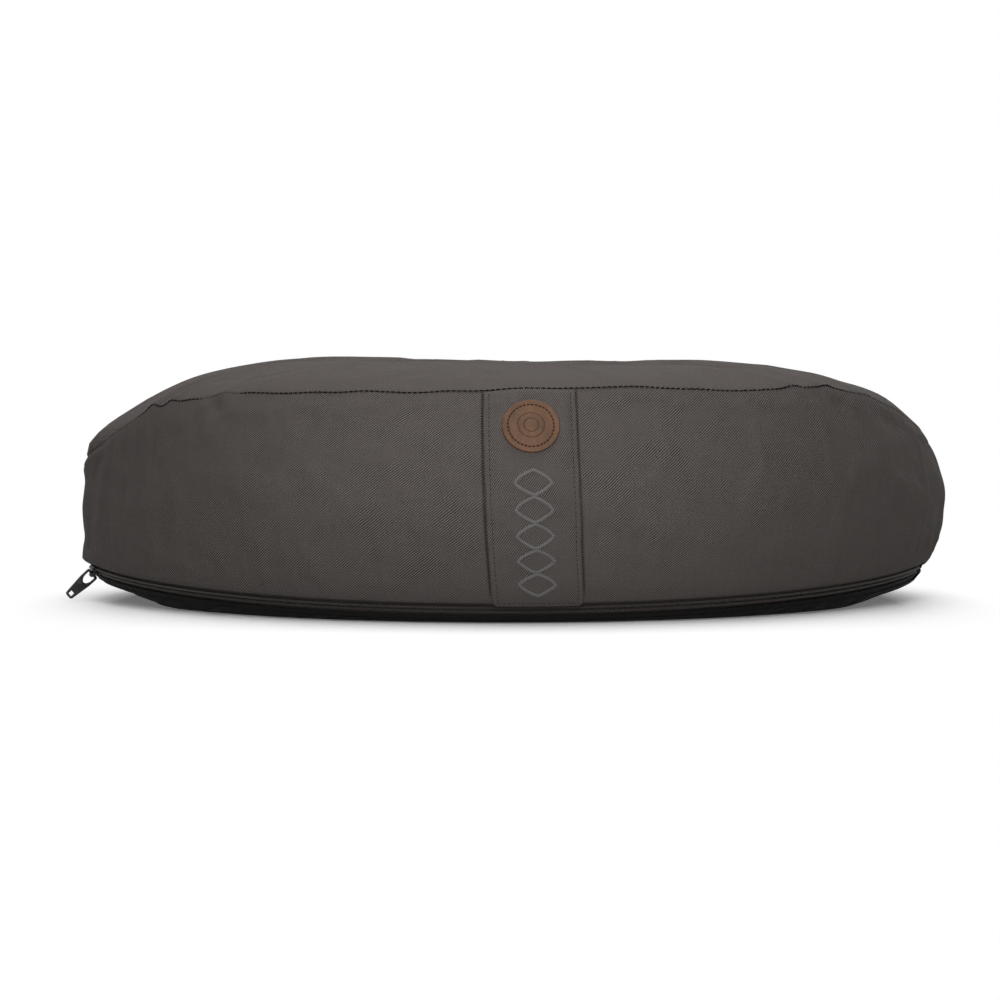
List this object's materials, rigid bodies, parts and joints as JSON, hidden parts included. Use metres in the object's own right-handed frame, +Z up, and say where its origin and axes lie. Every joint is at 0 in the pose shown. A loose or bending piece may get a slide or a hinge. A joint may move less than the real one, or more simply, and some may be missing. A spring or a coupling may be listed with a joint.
{
  "type": "meditation cushion",
  "caption": "Half-moon meditation cushion: a boxed twill cover with a zip along its foot and a carry band down its front, over an inner bag of buckwheat hulls.",
  "frame": {"origin": "middle of the seams' depth and width, on the flat underside that the cushion rests on", "axes": "-Y is the bowed front with the carry band and the zip, +X is to the right seen from the front, +Z is up"},
  "size_m": [0.4553, 0.2614, 0.1251],
  "materials": {
    "cover_twill": "charcoal cotton twill, matt",
    "underside_cloth": "near-black plain-woven cloth, matt",
    "seam_thread": "black sewing thread",
    "band_twill": "charcoal twill tape, a little lighter than the cover",
    "patch_leather": "tan leather, debossed rings, satin",
    "patch_thread": "dark brown waxed thread",
    "ornament_thread": "mid-grey satin stitch",
    "zip_tape": "dark woven zip tape",
    "zip_coil": "dark nylon coil, satin",
    "slider_metal": "gunmetal lacquered zinc",
    "bag_calico": "unbleached cotton calico",
    "hulls": "loose dark brown hulls"
  },
  "bodies": {
    "cushion": {"top_panel": "cover_twill", "front_wall": "cover_twill", "back_wall": "cover_twill", "bottom_panel": "underside_cloth", "top_seam_thread": "seam_thread", "foot_seam_thread": "seam_thread", "zip_tape_upper": "zip_tape", "zip_tape_lower": "zip_tape", "zip_coil_upper": "zip_coil", "zip_coil_lower": "zip_coil", "carry_band": "band_twill", "band_stitching": "seam_thread", "leather_patch": "patch_leather", "patch_stitching": "patch_thread", "band_embroidery": "ornament_thread", "inner_bag_top": "bag_calico", "inner_bag_wall": "bag_calico", "inner_bag_bottom": "bag_calico", "hull_fill": "hulls"},
    "slider": {"zip_slider": "slider_metal"},
    "pull": {"zip_pull": "slider_metal"}
  },
  "joints": [
    {"name": "slider_run", "type": "hinge", "parent": "cushion", "child": "slider", "pos_m": [0, 0.11189, 0.02084], "axis": [0, -0.0593, 0.9982], "range_deg": [0, 138.89]},
    {"name": "pull_swing", "type": "hinge", "parent": "slider", "child": "pull", "pos_m": [-0.21345, 0.03216, 0.01352], "axis": [-0.6019, -0.2707, 0.7513], "range_deg": [-85, 85]}
  ]
}
